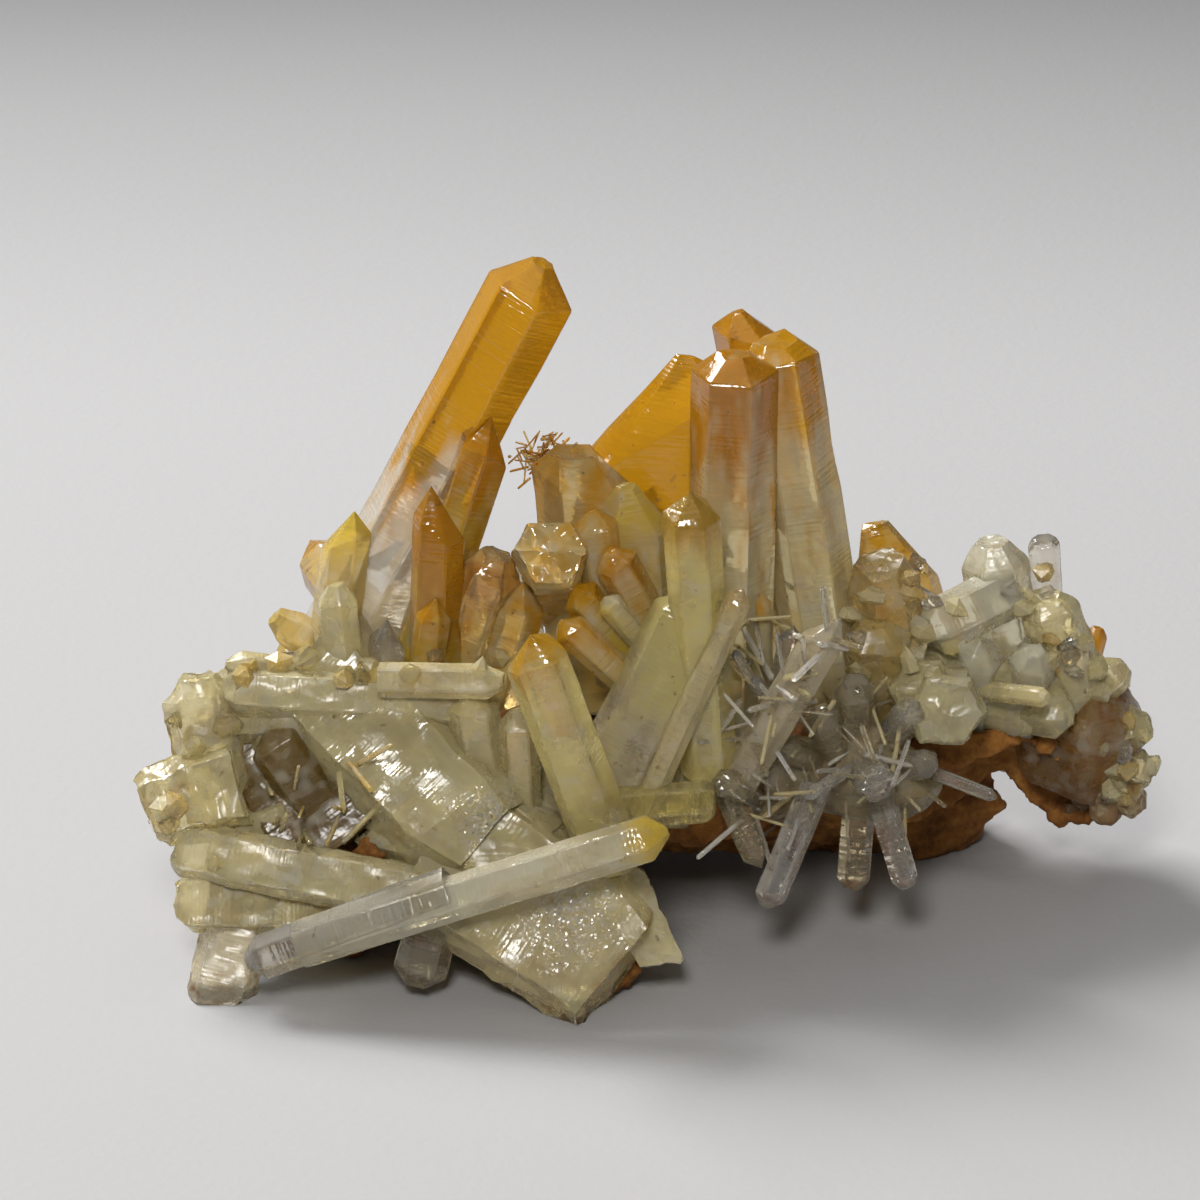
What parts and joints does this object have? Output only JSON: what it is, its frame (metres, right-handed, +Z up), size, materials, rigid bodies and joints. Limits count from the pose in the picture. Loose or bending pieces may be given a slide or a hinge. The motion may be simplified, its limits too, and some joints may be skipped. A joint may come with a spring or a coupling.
{
  "type": "mango quartz crystal cluster",
  "caption": "Mango quartz specimen: clear quartz points with amber tips, a milky crystal block and sprays of small clear crystals grown on iron-stained host rock.",
  "frame": {"origin": "middle of the cluster's footprint, on the surface that it rests on", "axes": "+X along the cluster to the side of the clear spray and the right crust, +Y to its back, +Z up"},
  "size_m": [0.1044, 0.0511, 0.0697],
  "materials": {
    "rock": "rough iron-stained limonite and weathered host rock",
    "amber_quartz": "transparent quartz with an amber iron-oxide zone under the tip, glossy with rough patches",
    "honey_quartz": "transparent quartz, pale below and yellow at the tip, glossy",
    "clear_quartz": "clear to smoky grey quartz, glossy",
    "milky_quartz": "milky quartz, satin with sparkling broken faces"
  },
  "bodies": {
    "root": {"iron_stained_rock": "rock", "tall_left_points": "amber_quartz", "mango_middle_points": "amber_quartz", "tall_right_columns": "honey_quartz", "pale_leaning_points": "honey_quartz", "orange_tipped_point": "honey_quartz", "yellow_tipped_front_bar": "honey_quartz", "grey_clear_spray": "clear_quartz", "needle_tuft": "honey_quartz", "milky_left_block": "milky_quartz", "right_crystal_crust": "milky_quartz", "back_crystal_crust": "milky_quartz"}
  },
  "joints": []
}
